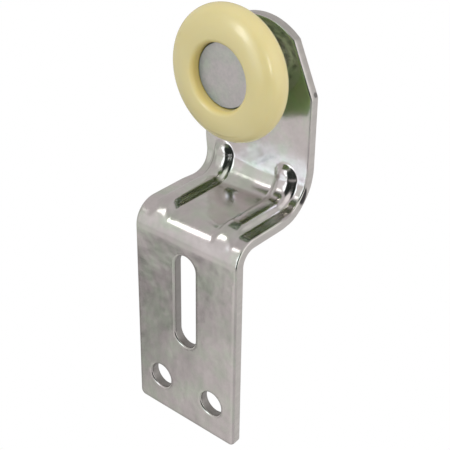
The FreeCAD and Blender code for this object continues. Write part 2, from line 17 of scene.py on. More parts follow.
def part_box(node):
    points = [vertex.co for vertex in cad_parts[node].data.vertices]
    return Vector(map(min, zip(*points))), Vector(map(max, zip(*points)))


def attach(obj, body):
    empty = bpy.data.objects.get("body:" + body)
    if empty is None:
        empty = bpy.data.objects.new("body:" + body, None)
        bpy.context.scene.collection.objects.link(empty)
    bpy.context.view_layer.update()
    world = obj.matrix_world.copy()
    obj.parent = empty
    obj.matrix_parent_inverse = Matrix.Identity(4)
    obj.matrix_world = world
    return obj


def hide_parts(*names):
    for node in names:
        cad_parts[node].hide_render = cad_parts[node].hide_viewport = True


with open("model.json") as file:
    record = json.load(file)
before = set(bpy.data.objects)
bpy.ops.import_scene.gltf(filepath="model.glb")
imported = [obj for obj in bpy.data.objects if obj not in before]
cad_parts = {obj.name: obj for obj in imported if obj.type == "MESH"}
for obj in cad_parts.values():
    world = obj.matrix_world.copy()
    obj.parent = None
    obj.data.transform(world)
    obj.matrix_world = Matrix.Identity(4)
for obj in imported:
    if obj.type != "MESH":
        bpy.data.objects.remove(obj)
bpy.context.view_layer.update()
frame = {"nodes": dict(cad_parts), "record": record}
scene = bpy.context.scene
MM = 0.001


# ------------------------------------------------------- sizes from the CAD
def box_mm(name):
    return [Vector(corner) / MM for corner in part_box(name)]


bracket_low, bracket_high = box_mm("bracket")
tyre_low, tyre_high = box_mm("nylon_tyre")
rivet_low, rivet_high = box_mm("axle_rivet")

HALF = bracket_high.x                   # half width of the strip
FOOT = bracket_low.z
CROWN = bracket_high.z
THICK = -bracket_low.y
BACK = bracket_high.y                   # rear face of the rear plate
FACE = BACK - THICK                     # front face of the rear plate
AXLE_Z = (tyre_low.z + tyre_high.z) / 2
WHEEL_Y = (tyre_low.y + tyre_high.y) / 2
TYRE_R = (tyre_high.z - tyre_low.z) / 2
TYRE_HALF = (tyre_high.y - tyre_low.y) / 2
HEAD_Y = rivet_low.y
HEAD_R = (rivet_high.z - rivet_low.z) / 2
SHANK_R = 2.5

mounts = {mount["name"]: mount for mount in frame["record"]["mounts"]}
hole_dims = mounts["screw_holes"]["dims"]
slot_dims = mounts["height_slot"]["dims"]
HOLE_R = hole_dims["hole_r_mm"]
HOLE_X = hole_dims["spacing_x_mm"] / 2
SLOT_R = slot_dims["hole_r_mm"]
SLOT_LENGTH = slot_dims["slot_length_mm"]
SLOT_Z = mounts["height_slot"]["pos_m"][2] / MM

# ------------------------------------------------------------ bracket sizes
SHELF_Z = 37.3                          # upper skin of the shelf, carried on to the front face
RISE = radians(2.5)                     # slope of the shelf
FRONT_BEND_R, REAR_BEND_R = 3.0, 4.8    # inner radii
RIB_X = 7.75                            # two ribs pressed up, either side of the middle
RIB_TOP_W, RIB_TOP_H = 2.6, 1.2         # half width and height on the upper skin
RIB_LOW_W, RIB_LOW_H = 2.2, 0.9         # and on the under skin
RIB_NOSE = 6.0                          # run over which a rib grows to full height
WAIST, WAIST_R = 0.7, 6.5               # sides drawn in round the rear bend: depth, reach
WAIST_Y, WAIST_Z = 16.2, 39.3
FOOT_CORNER_R = 1.2
SHOULDER_Z = 59.3                       # where the sides turn in towards the crown
SHOULDER_CUT = 0.22                     # length of the broken shoulder corner
CROWN_R = 12.4
CROWN_X = 8.2                           # where the sloping shoulder meets the crown's arc

ROLL = 0.38                             # radius of the rolled edge on the upper skin
# from the upper skin round the rolled edge and down the sheared wall to the under skin:
# inward offset in mm, depth as a share of the thickness
EDGE_RINGS = [(ROLL * (1 - sin(turn)), ROLL * (1 - cos(turn)) / THICK)
              for turn in np.linspace(0, pi / 2, 7)]
EDGE_RINGS += [(0.0, 0.32), (0.0, 0.44), (0.02, 0.50), (0.05, 0.70), (0.08, 0.93),
               (0.10, 0.97), (0.16, 1.0)]

# The strip has its own coordinates: x across it, and the run along its mid line from the
# foot. The upper side is the front of the plates and the top of the shelf.
BEND = pi / 2 - RISE
SETBACK = tan(BEND / 2)
FRONT_OUTER_R = FRONT_BEND_R + THICK
FRONT_Y, FRONT_Z = -THICK + FRONT_OUTER_R, SHELF_Z - FRONT_OUTER_R * SETBACK
REAR_Y = FACE - REAR_BEND_R
REAR_Z = SHELF_Z + BACK * tan(RISE) + REAR_BEND_R * SETBACK
FRONT_MID_R = FRONT_BEND_R + THICK / 2
REAR_MID_R = REAR_BEND_R + THICK / 2
SHELF_FROM = (FRONT_Y + FRONT_MID_R * cos(pi - BEND), FRONT_Z + FRONT_MID_R * sin(pi - BEND))
SHELF_TO = (REAR_Y + REAR_MID_R * cos(-pi / 2 + RISE), REAR_Z + REAR_MID_R * sin(-pi / 2 + RISE))
# run at the end of each span
PLATE_END = FRONT_Z - FOOT
FRONT_BEND_END = PLATE_END + BEND * FRONT_MID_R
SHELF_END = FRONT_BEND_END + hypot(SHELF_TO[0] - SHELF_FROM[0], SHELF_TO[1] - SHELF_FROM[1])
REAR_BEND_END = SHELF_END + BEND * REAR_MID_R
STRIP_END = REAR_BEND_END + CROWN - REAR_Z
RIB_START, RIB_END = FRONT_BEND_END - 4.5, REAR_BEND_END


# -------------------------------------------------------- strip coordinates
def front_run(z):
    return z - FOOT


def rear_run(z):
    return REAR_BEND_END + z - REAR_Z


def mid_line(run):
    """y and z of the mid line at each run, and the normal towards the upper side"""
    run = np.asarray(run, float)
    y, z, normal_y, normal_z = (np.empty_like(run) for _ in range(4))

    def put(span, *values):
        for target, value in zip((y, z, normal_y, normal_z), values):
            target[span] = value

    span = run <= PLATE_END
    put(span, -THICK / 2, FOOT + run[span], -1.0, 0.0)
    span = (run > PLATE_END) & (run <= FRONT_BEND_END)
    turn = pi - (run[span] - PLATE_END) / FRONT_MID_R
    put(span, FRONT_Y + FRONT_MID_R * np.cos(turn), FRONT_Z + FRONT_MID_R * np.sin(turn),
        np.cos(turn), np.sin(turn))
    span = (run > FRONT_BEND_END) & (run <= SHELF_END)
    along = run[span] - FRONT_BEND_END
    put(span, SHELF_FROM[0] + along * cos(RISE), SHELF_FROM[1] + along * sin(RISE),
        -sin(RISE), cos(RISE))
    span = (run > SHELF_END) & (run <= REAR_BEND_END)
    turn = -pi / 2 + RISE + (run[span] - SHELF_END) / REAR_MID_R
    put(span, REAR_Y + REAR_MID_R * np.cos(turn), REAR_Z + REAR_MID_R * np.sin(turn),
        -np.cos(turn), -np.sin(turn))
    span = run > REAR_BEND_END
    put(span, FACE + THICK / 2, REAR_Z + run[span] - REAR_BEND_END, -1.0, 0.0)
    return y, z, normal_y, normal_z


def rib_height(x, run, width, height):
    nearest = np.minimum(run, RIB_END)
    nose = np.clip((run - RIB_START) / RIB_NOSE, 0, 1)
    height = height * nose * nose * (3 - 2 * nose)
    raised = np.zeros_like(x)
    for centre in (-RIB_X, RIB_X):
        away = np.hypot(x - centre, run - nearest) / width
        raised = np.maximum(raised, np.where(away < 1, height * (1 - away ** 4) ** 2, 0))
    return raised


def half_width(run):
    y, z, _, _ = mid_line(run)
    away = np.hypot(y - WAIST_Y, z - WAIST_Z) / WAIST_R
    return HALF - np.where(away < 1, WAIST * (1 - away * away) ** 2, 0)


def fold(x, run, depth):
    """points of the folded strip: depth 0 is the upper skin, 1 the under skin"""
    y, z, normal_y, normal_z = mid_line(run)
    top = THICK / 2 + rib_height(x, run, RIB_TOP_W, RIB_TOP_H)
    low = -THICK / 2 + rib_height(x, run, RIB_LOW_W, RIB_LOW_H)
    lift = top + (low - top) * depth
    return np.stack([x, y + normal_y * lift, z + normal_z * lift], 1)


# ------------------------------------- loops in (x, run), all anticlockwise
def arc_points(centre, radius, start, end, count):
    return [(centre[0] + radius * cos(turn), centre[1] + radius * sin(turn))
            for turn in np.linspace(start, end, count)]


def outline():
    """outer edge of the strip"""
    half = arc_points((HALF - FOOT_CORNER_R, FOOT_CORNER_R), FOOT_CORNER_R, -pi / 2, 0, 10)
    side = np.arange(FOOT_CORNER_R + 0.4, rear_run(SHOULDER_Z) - 0.2, 0.4)
    half += list(zip(half_width(side), side))

    crown_z = CROWN - CROWN_R
    meet_z = crown_z + sqrt(CROWN_R ** 2 - CROWN_X ** 2)
    shoulder = np.array((HALF, rear_run(SHOULDER_Z)))
    meet = np.array((CROWN_X, rear_run(meet_z)))
    slope = (meet - shoulder) / np.hypot(*(meet - shoulder))
    before = shoulder + np.array((0, -SHOULDER_CUT))
    after = shoulder + slope * SHOULDER_CUT
    for w in np.linspace(0, 1, 5):
        half.append(tuple((1 - w) ** 2 * before + 2 * w * (1 - w) * shoulder + w * w * after))
    slope_parts = 14
    for i in range(1, slope_parts):
        half.append(tuple(shoulder + (meet - shoulder) * i / slope_parts))
    start = atan2(meet_z - crown_z, CROWN_X)
    # the first 25 of the 49 points reach the top of the crown
    arc = arc_points((0, crown_z), CROWN_R, start, pi - start, 49)[:25]
    half += [(x, rear_run(z)) for x, z in arc]

    loop = half + [(-x, run) for x, run in reversed(half[:-1])]
    foot = np.linspace(-(HALF - FOOT_CORNER_R), HALF - FOOT_CORNER_R, 60)[1:-1]
    return np.array(loop + [(x, 0.0) for x in foot])


def circle(x, run, radius, count):
    turn = np.linspace(0, 2 * pi, count, endpoint=False)
    return np.stack([x + radius * np.cos(turn), run + radius * np.sin(turn)], 1)


def slot_loop(run, radius, length):
    reach = length / 2 - radius
    turn = np.linspace(0, pi, 29)
    upper = np.stack([radius * np.cos(turn), run + reach + radius * np.sin(turn)], 1)
    lower = np.stack([-radius * np.cos(turn), run - reach - radius * np.sin(turn)], 1)
    side = np.linspace(run + reach, run - reach, 40)[1:-1]
    left = np.stack([np.full_like(side, -radius), side], 1)
    right = np.stack([np.full_like(side, radius), side[::-1]], 1)
    return np.concatenate([upper, left, lower, right])


def left_normals(edges):
    normals = np.stack([-edges[:, 1], edges[:, 0]], 1)
    return normals / np.linalg.norm(normals, axis=1)[:, None]


def into_material(loop, is_hole):
    """unit normals of a loop that point into the sheet"""
    before = left_normals(loop - np.roll(loop, 1, 0))
    after = left_normals(np.roll(loop, -1, 0) - loop)
    normals = before + after
    normals /= np.linalg.norm(normals, axis=1)[:, None]
    return -normals if is_hole else normals


def distance_to(points, loop):
    best = np.full(len(points), 1e9)
    for start, end in zip(loop, np.roll(loop, -1, 0)):
        edge = end - start
        share = np.clip(((points - start) @ edge) / (edge @ edge), 0, 1)
        best = np.minimum(best, np.hypot(*(points - start - share[:, None] * edge).T))
    return best


def inside(points, loop):
    x, y = points.T
    hit = np.zeros(len(points), bool)
    for (ax, ay), (bx, by) in zip(loop, np.roll(loop, -1, 0)):
        if ay == by:
            continue
        crosses = (ay > y) != (by > y)
        hit ^= crosses & (x < (bx - ax) * (y - ay) / (by - ay) + ax)
    return hit


def in_sheet(points, loops):
    """inside the first loop and outside the others, which are the holes"""
    within = inside(points, loops[0])
    for hole in loops[1:]:
        within &= ~inside(points, hole)
    return within


# ------------------------------------------------------------------- meshes
def new_object(name, verts_mm, faces):
    mesh = bpy.data.meshes.new(name)
    mesh.from_pydata([tuple(v) for v in np.asarray(verts_mm, float) * MM], [],
                     [tuple(face) for face in faces])
    mesh.validate()
    bm = bmesh.new()
    bm.from_mesh(mesh)
    bmesh.ops.recalc_face_normals(bm, faces=bm.faces)
    if bm.calc_volume(signed=True) < 0:
        bmesh.ops.reverse_faces(bm, faces=bm.faces)
    bm.to_mesh(mesh)
    bm.free()
    mesh.polygons.foreach_set("use_smooth", [True] * len(mesh.polygons))
    mesh.update()
    ob = bpy.data.objects.new(name, mesh)
    scene.collection.objects.link(ob)
    return ob


NET_FINE, NET_COARSE = 0.3, 0.55        # pitch of the inner points: formed zone, flat plates
NET_START, NET_SIDE = 0.4, 0.15         # first row's run, first point's distance from the side
NET_CLEAR = 0.16                        # least distance from a loop


def skin_net():
    """rows of inner points, closer together where the strip is bent or ribbed"""
    rows = []
    run = NET_START
    while run < STRIP_END:
        formed = PLATE_END - 3 < run < RIB_END + 5
        pitch = NET_FINE if formed else NET_COARSE
        across = np.arange(-HALF + NET_SIDE, HALF, pitch)
        rows.append(np.stack([across, np.full_like(across, run)], 1))
        run += pitch
    return np.concatenate(rows)


def fill_skin(points, loop_rings, upper):
    """add the inner points of one skin to points and return the skin's triangles"""
    flat = np.array(points)[:, :2]
    ids, edges, loops = [], [], []
    for rings in loop_rings:
        ring = rings[0 if upper else -1]
        start, count = len(ids), len(ring)
        ids += list(ring)
        edges += [(start + i, start + (i + 1) % count) for i in range(count)]
        loops.append(flat[ring])

    net = skin_net()
    keep = in_sheet(net, loops)
    for loop in loops:
        keep &= distance_to(net, loop) > NET_CLEAR
    net = net[keep]
    ids += range(len(points), len(points) + len(net))
    points += [(x, run, 0.0 if upper else 1.0) for x, run in net]

    coords = [Vector(v) for v in np.concatenate(loops + [net])]
    verts, _, triangles, origins, _, _ = delaunay_2d_cdt(coords, edges, [], 1, 1e-7)
    to_point = [ids[origin[0]] for origin in origins]
    centres = np.array([np.mean([verts[i][:] for i in tri], 0) for tri in triangles])
    skin = []
    for good, tri in zip(in_sheet(centres, loops), triangles):
        if good:
            corners = [to_point[i] for i in tri]
            skin.append(corners if upper else corners[::-1])
    return skin


def build_bracket():
    """the bracket, the depth of each vertex and the first vertex of the holes"""
    loops = [(outline(), False), (slot_loop(front_run(SLOT_Z), SLOT_R, SLOT_LENGTH), True)]
    for side in (-1, 1):
        loops.append((circle(side * HOLE_X, front_run(0.0), HOLE_R, 72), True))
    loops.append((circle(0, rear_run(AXLE_Z), SHANK_R, 64), True))

    points = []                         # x, run, depth
    faces = []
    loop_rings = []
    for loop, is_hole in loops:
        normals = into_material(loop, is_hole)
        count = len(loop)
        rings = []
        for offset, depth in EDGE_RINGS:
            rings.append(np.arange(len(points), len(points) + count))
            points += [(x, run, depth) for x, run in loop + normals * offset]
        for ring, below in zip(rings, rings[1:]):
            for i in range(count):
                j = (i + 1) % count
                face = (ring[i], ring[j], below[j], below[i])
                faces.append(face if is_hole else face[::-1])
        loop_rings.append(rings)
    for upper in (True, False):
        faces += fill_skin(points, loop_rings, upper)

    x, run, depth = np.array(points).T
    return new_object("zinc_bracket", fold(x, run, depth), faces), depth, loop_rings[1][0][0]


bracket, vertex_depth, first_hole_vertex = build_bracket()
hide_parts("bracket")
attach(bracket, "hanger")


# ------------------------------------------------------------ turned pieces
def turned(name, profile, segments, start_y):
    """closed (y, radius) profile swept round the axle; a radius of 0 lies on the axis"""
    verts, rows = [], []
    for y, radius in np.asarray(profile, float):
        if radius < 1e-9:
            rows.append([len(verts)] * segments)
            verts.append((0, start_y + y, AXLE_Z))
            continue
        rows.append(range(len(verts), len(verts) + segments))
        for i in range(segments):
            turn = 2 * pi * i / segments
            verts.append((radius * cos(turn), start_y + y, AXLE_Z + radius * sin(turn)))
    faces = []
    for row, following in zip(rows, rows[1:] + rows[:1]):
        # a span that runs along the axis has no surface
        if row[0] == row[-1] and following[0] == following[-1]:
            continue
        for i in range(segments):
            j = (i + 1) % segments
            # a corner on the axis is named twice, so it is kept once
            corners = (row[i], row[j], following[j], following[i])
            faces.append(list(dict.fromkeys(corners)))
    return new_object(name, verts, faces)


def tyre_profile():
    """tyre section round the wheel's mid plane, from the bore at the front, over the tread"""
    bore_r, seat_r = 6.2, 6.8           # opening at the front, seat of the bearing
    tread_arc_r, lip_r, rear_r = 2.7, 1.0, 0.4
    crest_r = 7.8                       # distance from the axle where the front stands proudest
    tread_r = TYRE_R - tread_arc_r      # distance from the axle to the tread arc's centre
    race_front = box_mm("bearing_outer_race")[0].y - WHEEL_Y
    edge = 0.02                         # break of the edges beside the bearing

    def side_arc(crest):
        """radius of a side's arc that touches the tread arc, and the angle where they meet"""
        gap = tread_r - crest
        radius = ((gap * gap + TYRE_HALF * TYRE_HALF - tread_arc_r * tread_arc_r)
                  / (2 * (TYRE_HALF - tread_arc_r)))
        return radius, atan2(gap, radius - TYRE_HALF)

    front_r, front_turn = side_arc(crest_r)
    back_r, back_turn = side_arc(seat_r + rear_r)
    lip_turn = asin((crest_r - bore_r - lip_r) / (front_r - lip_r))
    lip_y = front_r - TYRE_HALF - (front_r - lip_r) * cos(lip_turn)

    profile = arc_points((lip_y, bore_r + lip_r), lip_r, 1.5 * pi, pi + lip_turn, 16)
    profile += arc_points((-TYRE_HALF + front_r, crest_r), front_r,
                          pi + lip_turn, pi - front_turn, 24)[1:]
    profile += arc_points((0, tread_r), tread_arc_r, pi - front_turn, back_turn, 30)[1:]
    profile += arc_points((TYRE_HALF - back_r, seat_r + rear_r), back_r, back_turn, 0, 16)[1:]
    profile += arc_points((TYRE_HALF - rear_r, seat_r + rear_r), rear_r, 0, -pi / 2, 7)[1:]
    profile += [(y, seat_r) for y in np.linspace(TYRE_HALF - rear_r, race_front + edge, 9)[1:]]
    profile += [(race_front, seat_r - edge), (race_front, bore_r + edge),
                (race_front - edge, bore_r)]
    profile += [(y, bore_r) for y in np.linspace(race_front - 0.1, lip_y, 12)[1:-1]]
    return profile


def rivet_profile():
    """thin broad head, shank, and a domed tail on the rear plate; y from the head's front"""
    head_thick, head_edge_r, dish = 1.35, 0.15, 0.02
    bevel = 0.1
    tail_y = BACK - HEAD_Y
    tail_r, tail_high, tail_flat_r = 4.2, 1.3, 2.6
    narrowing = tail_r - tail_flat_r
    dome_r = (tail_high * tail_high + narrowing * narrowing) / (2 * narrowing)
    dome_end = atan2(tail_flat_r - (tail_r - dome_r), tail_high)

    profile = [(0.0, 0.0)]
    profile += [(dish * (radius / HEAD_R) ** 4, radius)
                for radius in np.linspace(0.4, HEAD_R - head_edge_r - 0.1, 14)]
    profile += arc_points((head_edge_r, HEAD_R - head_edge_r), head_edge_r, pi, pi / 2, 7)
    profile += [(head_thick - bevel, HEAD_R), (head_thick, HEAD_R - bevel),
                (head_thick, SHANK_R + bevel), (head_thick + bevel, SHANK_R)]
    profile += [(y, SHANK_R) for y in np.linspace(head_thick + 1, tail_y - 0.2, 12)]
    profile += [(tail_y, SHANK_R), (tail_y, tail_r - 0.2), (tail_y, tail_r - 0.05)]
    profile += arc_points((tail_y, tail_r - dome_r), dome_r, pi / 2 - 0.02, dome_end, 12)
    # shallow hollow in the tail's end: how far it sinks, radius
    for sink, radius in ((0.02, tail_flat_r - 0.12), (0.1, tail_flat_r * 0.6),
                         (0.16, tail_flat_r * 0.3), (0.18, 0.0)):
        profile.append((tail_y + tail_high - sink, radius))
    return profile


tyre = turned("nylon_wheel", tyre_profile(), segments=256, start_y=WHEEL_Y)
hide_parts("nylon_tyre")
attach(tyre, "wheel")

rivet = turned("rivet", rivet_profile(), segments=160, start_y=HEAD_Y)
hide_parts("axle_rivet")
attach(rivet, "hanger")

# -------------------------------------------------------------- shader nodes
BLACK, WHITE = (0, 0, 0), (1, 1, 1)


class Graph:
    """the node tree of a material or world; values may be numbers, colours or sockets"""

    def __init__(self, owner):
        owner.use_nodes = True
        self.tree = owner.node_tree
        self.tree.nodes.clear()

    def feed(self, socket, value):
        if isinstance(value, bpy.types.NodeSocket):
            self.tree.links.new(value, socket)
        else:
            socket.default_value = value

    def node(self, kind, **inputs):
        """new node; an underscore in an input's name stands for a space"""
        node = self.tree.nodes.new("ShaderNode" + kind)
        for name, value in inputs.items():
            self.feed(node.inputs[name.replace("_", " ")], value)
        return node

    def math(self, operation, *values):
        node = self.node("Math")
        node.operation = operation
        for socket, value in zip(node.inputs, values):
            self.feed(socket, value)
        return node.outputs[0]

    def mix(self, factor, first, second, blend="MIX"):
        node = self.node("Mix")
        node.data_type = "RGBA"
        node.blend_type = blend
        for i, value in ((0, factor), (6, first), (7, second)):
            self.feed(node.inputs[i], (*value, 1) if isinstance(value, tuple) else value)
        return node.outputs[2]

    def separate(self, vector):
        node = self.node("SeparateXYZ")
        self.feed(node.inputs[0], vector)
        return node.outputs


class Surface(Graph):
    """a material with one Principled shader, textured in object coordinates (metres)"""

    def __init__(self, name):
        self.material = bpy.data.materials.new(name)
        super().__init__(self.material)
        output = self.node("OutputMaterial")
        self.shader = self.node("BsdfPrincipled")
        self.feed(output.inputs[0], self.shader.outputs[0])
        self.position = self.node("TexCoord").outputs["Object"]

    def finish(self, **inputs):
        for name, value in inputs.items():
            self.feed(self.shader.inputs[name.replace("_", " ")], value)
        return self.material

    def noise(self, scale, detail, rough, vector=None):
        return self.node("TexNoise", Scale=scale, Detail=detail, Roughness=rough,
                         Vector=vector or self.position).outputs["Fac"]

    def ramp(self, value, low, high, mode="LINEAR"):
        """low and high are (position, colour)"""
        node = self.node("ValToRGB")
        node.color_ramp.interpolation = mode
        for element, (position, colour) in zip(node.color_ramp.elements, (low, high)):
            element.position = position
            element.color = (*colour, 1)
        self.feed(node.inputs[0], value)
        return node.outputs[0]

    def vary(self, base, noise, swing):
        """base plus the noise's departure from one half, times swing"""
        return self.math("ADD", base, self.math("MULTIPLY", self.math("SUBTRACT", noise, 0.5),
                                                swing))

    def bump(self, height, distance, **normal):
        return self.node("Bump", Distance=distance, Height=height, **normal).outputs[0]


def toned(colour, tone):
    return tuple(tone * channel for channel in colour)


# ---------------------------------------------------------------- materials
def zinc(name, tone=1.0, rough=0.17, mottle=0.8, cloud=0.0):
    """plating that drifts from pinkish to greenish; cloud darkens wide patches"""
    m = Surface(name)
    patch = m.noise(scale=210, detail=3, rough=0.55)
    wide = m.noise(scale=85, detail=3, rough=0.5)
    fine = m.noise(scale=1500, detail=4, rough=0.6)
    blotch = m.noise(scale=620, detail=2, rough=0.5)
    pink = toned((0.640, 0.585, 0.575), tone)
    green = toned((0.580, 0.605, 0.525), tone)
    dull = toned((0.47, 0.45, 0.44), tone)
    colour = m.mix(m.ramp(patch, (0.42, BLACK), (0.66, WHITE)), pink, green)
    specks = m.math("MULTIPLY", m.ramp(fine, (0.35, BLACK), (0.7, WHITE)), 0.25 * mottle)
    colour = m.mix(specks, colour, dull)
    if cloud:
        shade = m.ramp(wide, (0.36, (1 - cloud,) * 3), (0.62, (1 + 0.3 * cloud,) * 3))
        colour = m.mix(1.0, colour, shade, "MULTIPLY")
    roughness = m.vary(rough, blotch, swing=0.14 * mottle)
    roughness = m.vary(roughness, wide, swing=0.10 * mottle)
    normal = m.bump(m.noise(scale=170, detail=2, rough=0.5), distance=0.0001)
    normal = m.bump(blotch, distance=0.000007, Normal=normal)
    normal = m.bump(fine, distance=0.000003, Normal=normal)
    return m.finish(Base_Color=colour, Metallic=1.0, Roughness=roughness, Normal=normal)


# painted shade: dark spots on the right (+X) wall where shadow and dark reflection fall: y, z,
# half size in y, half size in z (m), strength
PAINTED_SHADE_SPOTS = ((0.0172, 0.0402, 0.0012, 0.0021, 1.0),                    # rear bend
              (0.0189, (SHOULDER_Z + 0.5) * MM, 0.0006, 0.0005, 0.6))   # shoulder


def sheared(name, tone):
    """punched wall: streaks down the thickness, dull and a little darker"""
    m = Surface(name)
    stretched = m.node("Mapping", Scale=(1.0, 0.25, 1.0), Vector=m.position).outputs[0]
    streak = m.noise(scale=900, detail=3, rough=0.6, vector=stretched)
    grain = m.noise(scale=2400, detail=3, rough=0.6)
    colour = m.mix(streak, toned((0.62, 0.58, 0.55), tone), toned((0.42, 0.40, 0.38), tone))
    roughness = m.vary(0.38, grain, swing=0.2)
    normal = m.bump(streak, distance=0.00003)
    normal = m.bump(grain, distance=0.00001, Normal=normal)
    x, y, z = m.separate(m.position)
    # painted shade: each spot darkens the right wall nearly to black
    for spot_y, spot_z, half_y, half_z, strength in PAINTED_SHADE_SPOTS:
        off_y = m.math("DIVIDE", m.math("SUBTRACT", y, spot_y), half_y)
        off_z = m.math("DIVIDE", m.math("SUBTRACT", z, spot_z), half_z)
        away = m.math("ADD", m.math("MULTIPLY", off_y, off_y), m.math("MULTIPLY", off_z, off_z))
        shade_spot = m.ramp(away, (0.55, WHITE), (1.0, BLACK))
        right = m.math("MULTIPLY", m.math("GREATER_THAN", x, 0.0), strength)
        colour = m.mix(m.math("MULTIPLY", shade_spot, right), colour, (0.035, 0.03, 0.03))
    return m.finish(Base_Color=colour, Metallic=1.0, Roughness=roughness, Normal=normal)


def nylon(name):
    line_r, line_width = 0.01085, 0.00017   # mould line on the front face (m)
    line_drop = -0.0127                     # height below the axle that scales its fade (m)
    m = Surface(name)
    cloud = m.noise(scale=120, detail=1, rough=0.5)
    fine = m.noise(scale=2600, detail=3, rough=0.6)
    x, y, z = m.separate(m.position)
    height = m.math("SUBTRACT", z, AXLE_Z * MM)
    squares = m.math("ADD", m.math("MULTIPLY", x, x), m.math("MULTIPLY", height, height))
    radius = m.math("SQRT", squares)
    colour = m.mix(m.ramp(cloud, (0.2, BLACK), (0.8, WHITE), "EASE"),
                   (0.695, 0.60, 0.303), (0.673, 0.578, 0.28))
    # painted shade and bounced light near the bore: a darker, deeper yellow there; the ramp
    # counts in centimetres
    bore_shade = m.ramp(m.math("DIVIDE", radius, 0.01), (0.625, WHITE), (0.685, BLACK))
    colour = m.mix(bore_shade, colour, (0.68, 0.55, 0.20))
    # painted reflection and shade: glossy rays see the tyre painted green, dark over its front
    # and middle and lighter towards its rear
    path = m.node("LightPath")
    rearward = m.math("DIVIDE", m.math("SUBTRACT", y, WHEEL_Y * MM), 0.004)
    painted_reflection = m.ramp(rearward, (0.1, (0.17, 0.235, 0.14)), (0.6, (0.46, 0.63, 0.27)))
    colour = m.mix(path.outputs["Is Glossy Ray"], colour, painted_reflection)
    normal = m.bump(m.noise(scale=500, detail=2, rough=0.5), distance=0.00002)
    normal = m.bump(fine, distance=0.000003, Normal=normal)
    # faint mould line round the foot of the front face, a bell curve across its width
    off = m.math("DIVIDE", m.math("SUBTRACT", radius, line_r), line_width)
    ridge = m.math("POWER", 2.718, m.math("MULTIPLY", m.math("MULTIPLY", off, off), -1.0))
    tilted = m.math("ADD", height, m.math("MULTIPLY", x, 0.25))
    low = m.ramp(m.math("DIVIDE", tilted, line_drop), (0.62, BLACK), (0.86, WHITE))
    line = m.math("MULTIPLY", ridge, low)
    normal = m.bump(line, distance=0.00006, Normal=normal)
    colour = m.mix(m.math("MULTIPLY", line, 0.45), colour, (0.50, 0.42, 0.17))
    return m.finish(Base_Color=colour, Roughness=m.vary(0.235, cloud, swing=0.07),
                    Normal=normal, Subsurface_Weight=0.35,
                    Subsurface_Radius=(1.0, 0.75, 0.35), Subsurface_Scale=0.0016, IOR=1.5)


def plain_steel(name, base, rough):
    m = Surface(name)
    fine = m.noise(scale=900, detail=4, rough=0.6)
    broad = m.noise(scale=350, detail=3, rough=0.5)
    colour = m.mix(m.ramp(fine, (0.35, BLACK), (0.65, WHITE)), toned(base, 0.9), base)
    roughness = m.vary(rough, broad, swing=0.15)
    # painted reflection: glossy rays see the steel painted green and less metallic, so its
    # reflection in the bracket looks green
    painted_reflection = m.node("LightPath").outputs["Is Glossy Ray"]
    colour = m.mix(painted_reflection, colour, (0.62, 0.74, 0.46))
    metal = m.math("SUBTRACT", 1.0, m.math("MULTIPLY", painted_reflection, 0.75))
    return m.finish(Base_Color=colour, Metallic=metal, Roughness=roughness,
                    Normal=m.bump(fine, distance=0.000008))


def dress(ob, *materials):
    ob.data.materials.clear()
    for material in materials:
        ob.data.materials.append(material)


def dress_node(name, material):
    ob = frame["nodes"][name]
    if len(ob.material_slots) == 0:
        ob.data.materials.append(material)
    for slot in ob.material_slots:
        slot.material = material


SHEARED_EDGE, SHEARED_HOLE_SHADED = 1, 2       # material slots; slot 0 is the skin
# the walls of the holes get a darker tone (0.56): painted shade inside the punched holes
dress(bracket, zinc("zinc", cloud=0.16), sheared("sheared_edge", tone=1.06),
      sheared("sheared_hole_painted_shade", tone=0.56))
for polygon in bracket.data.polygons:
    if all(0.1 < vertex_depth[i] < 0.99 for i in polygon.vertices):
        outer = min(polygon.vertices) < first_hole_vertex
        polygon.material_index = SHEARED_EDGE if outer else SHEARED_HOLE_SHADED
dress(tyre, nylon("nylon"))
dress(rivet, zinc("rivet_zinc", tone=0.97, rough=0.5, mottle=2.0))
dress_node("axle_spacer", zinc("spacer_zinc", tone=0.95, rough=0.28))
race_steel = plain_steel("race_steel", base=(0.66, 0.68, 0.72), rough=0.35)
for race in ("bearing_outer_race", "bearing_inner_race_front", "bearing_inner_race_rear"):
    dress_node(race, race_steel)
dress_node("bearing_balls", plain_steel("ball_steel", base=(0.75, 0.75, 0.77), rough=0.08))

# -------------------------------------------------------------------- world
# the camera sees white; every other ray sees a studio of soft reflectors
world = bpy.data.worlds.new("studio")
scene.world = world
studio = Graph(world)
world_out = studio.node("OutputWorld")
reflected = studio.node("Background")
white = studio.node("Background", Color=(1, 1, 1, 1))
chooser = studio.node("MixShader")
camera_path = studio.node("LightPath")
direction = studio.node("TexCoord").outputs["Generated"]
studio.feed(chooser.inputs[0], camera_path.outputs["Is Camera Ray"])
studio.feed(chooser.inputs[1], reflected.outputs[0])
studio.feed(chooser.inputs[2], white.outputs[0])
studio.feed(world_out.inputs[0], chooser.outputs[0])

# azimuth from the front (-Y), positive towards +X, and elevation, in degrees
toward_x, toward_y, toward_z = studio.separate(direction)
forward = studio.math("MULTIPLY", toward_y, -1.0)
AZIMUTH = studio.math("MULTIPLY", studio.math("ARCTAN2", toward_x, forward), 180 / pi)
ELEVATION = studio.math("MULTIPLY", studio.math("ARCSINE", toward_z), 180 / pi)


def step(value, start, end):
    """smooth 0 to 1 as value goes from start to end"""
    low, high = sorted((start, end))
    node = studio.node("MapRange", Value=value, From_Min=low, From_Max=high)
    node.interpolation_type = "SMOOTHSTEP"
    if start > end:
        node.inputs["To Min"].default_value = 1.0
        node.inputs["To Max"].default_value = 0.0
    return node.outputs["Result"]


def band(value, low, high, soft):
    return studio.math("MULTIPLY", step(value, low - soft, low + soft),
                       step(value, high + soft, high - soft))


